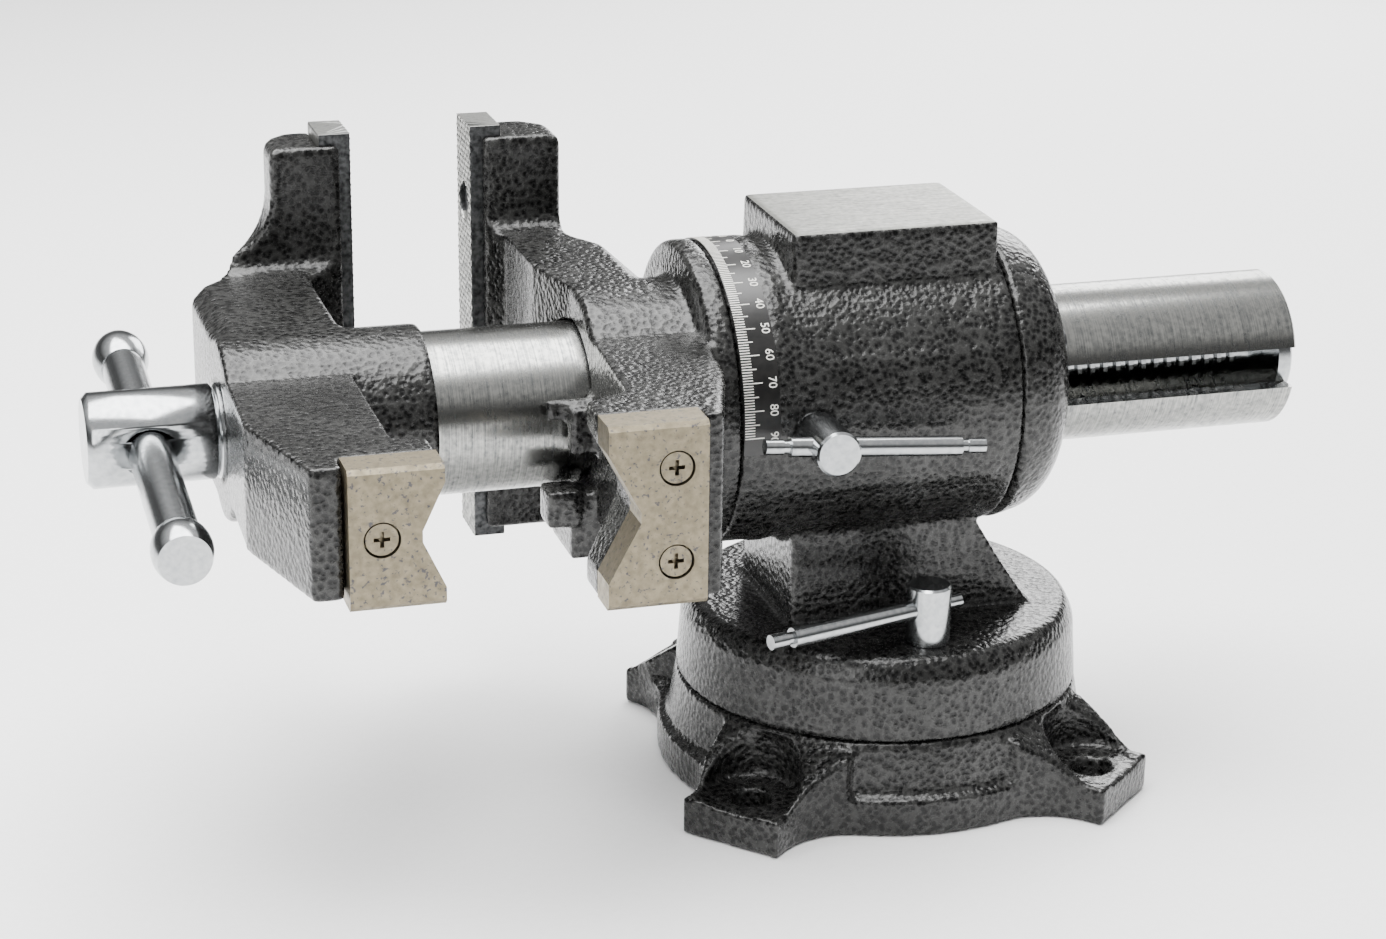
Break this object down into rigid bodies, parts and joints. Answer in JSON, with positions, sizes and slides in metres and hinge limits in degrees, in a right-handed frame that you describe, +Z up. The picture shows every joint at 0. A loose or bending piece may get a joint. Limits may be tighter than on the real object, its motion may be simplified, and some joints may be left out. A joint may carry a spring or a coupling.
{
  "type": "bench vise",
  "caption": "Bench vise with a swivel base, a head that turns about its slide, flat jaws on one side, pipe jaws on the other and an anvil.",
  "frame": {"origin": "centre of the bench bolt circle, on the swivel axis at the underside of the base", "axes": "+Z up along the swivel axis, +X along the slide tube towards its open rear end, pipe jaws on the -Y side at rest"},
  "size_m": [0.3485, 0.1794, 0.178],
  "materials": {
    "hammertone_paint": "glossy black hammertone enamel on cast iron",
    "turned_steel": "bright steel, turned round its length",
    "zinc_plate": "satin zinc plate",
    "ground_jaw_steel": "ground steel with a cross-hatched face",
    "pipe_jaw_steel": "warm grey ground steel with fine pits",
    "dark_steel": "blackened steel",
    "bronze": "machined bronze",
    "dial_black": "black anodised strip with white graduations"
  },
  "bodies": {
    "base": {"base_casting": "hammertone_paint"},
    "body": {"body_casting": "hammertone_paint", "dial_strip": "dial_black", "head_lock_pad": "bronze", "swivel_clamp_block": "dark_steel", "pivot_bolt": "dark_steel", "pivot_washer": "dark_steel"},
    "head": {"head_casting": "hammertone_paint", "rear_cap": "hammertone_paint", "rear_cap_screws": "dark_steel", "fixed_jaw_plate": "ground_jaw_steel", "fixed_jaw_plate_screws": "dark_steel", "fixed_pipe_plate": "pipe_jaw_steel", "fixed_pipe_plate_screws": "pipe_jaw_steel", "spindle_nut": "bronze"},
    "moving_jaw": {"moving_jaw_casting": "hammertone_paint", "moving_jaw_plate": "ground_jaw_steel", "moving_jaw_plate_screws": "dark_steel", "moving_pipe_plate": "pipe_jaw_steel", "moving_pipe_plate_screw": "pipe_jaw_steel", "slide_tube": "turned_steel", "tube_grub_screws": "dark_steel", "tube_end_disc": "zinc_plate"},
    "spindle": {"lead_screw": "zinc_plate", "thrust_washer": "zinc_plate", "retaining_collar": "dark_steel", "collar_pin": "dark_steel"},
    "handle": {"handle_bar": "zinc_plate", "handle_knob_near": "zinc_plate", "handle_knob_far": "zinc_plate"},
    "head_lock": {"head_lock_bolt": "zinc_plate"},
    "head_lock_handle": {"head_lock_bar": "zinc_plate"},
    "swivel_lock": {"swivel_lock_bolt": "zinc_plate"},
    "swivel_lock_handle": {"swivel_lock_bar": "zinc_plate"}
  },
  "joints": [
    {"name": "swivel", "type": "hinge", "parent": "base", "child": "body", "pos_m": [0, 0, 0.026], "axis": [0, 0, 1], "continuous": true},
    {"name": "head_turn", "type": "hinge", "parent": "body", "child": "head", "pos_m": [-0.0148, 0, 0.1145], "axis": [1, 0, 0], "continuous": true},
    {"name": "jaw_slide", "type": "slide", "parent": "head", "child": "moving_jaw", "axis": [1, 0, 0], "range_m": [-0.089, 0.0344]},
    {"name": "spindle_turn", "type": "hinge", "parent": "moving_jaw", "child": "spindle", "pos_m": [-0.21, 0, 0.1145], "axis": [1, 0, 0], "range_deg": [-8011, 3097]},
    {"name": "handle_slide", "type": "slide", "parent": "spindle", "child": "handle", "axis": [0, 0.9968, 0.0802], "range_m": [-0.0345, 0.0515]},
    {"name": "head_lock_turn", "type": "hinge", "parent": "body", "child": "head_lock", "pos_m": [-0.0344, -0.055, 0.1145], "axis": [0, 1, 0], "range_deg": [-110, 110]},
    {"name": "head_lock_bar_slide", "type": "slide", "parent": "head_lock", "child": "head_lock_handle", "axis": [0.9969, 0, -0.0785], "range_m": [-0.006, 0.01]},
    {"name": "swivel_lock_turn", "type": "hinge", "parent": "body", "child": "swivel_lock", "pos_m": [0, -0.0424, 0.06], "axis": [0, 0, 1], "range_deg": [-30, 180]},
    {"name": "swivel_lock_bar_slide", "type": "slide", "parent": "swivel_lock", "child": "swivel_lock_handle", "axis": [0.9673, 0.2538, 0], "range_m": [-0.003, 0.04]}
  ],
  "couplings": [
    {"joint": "spindle_turn", "follows": "jaw_slide", "rad_per_m": 1570.8}
  ]
}
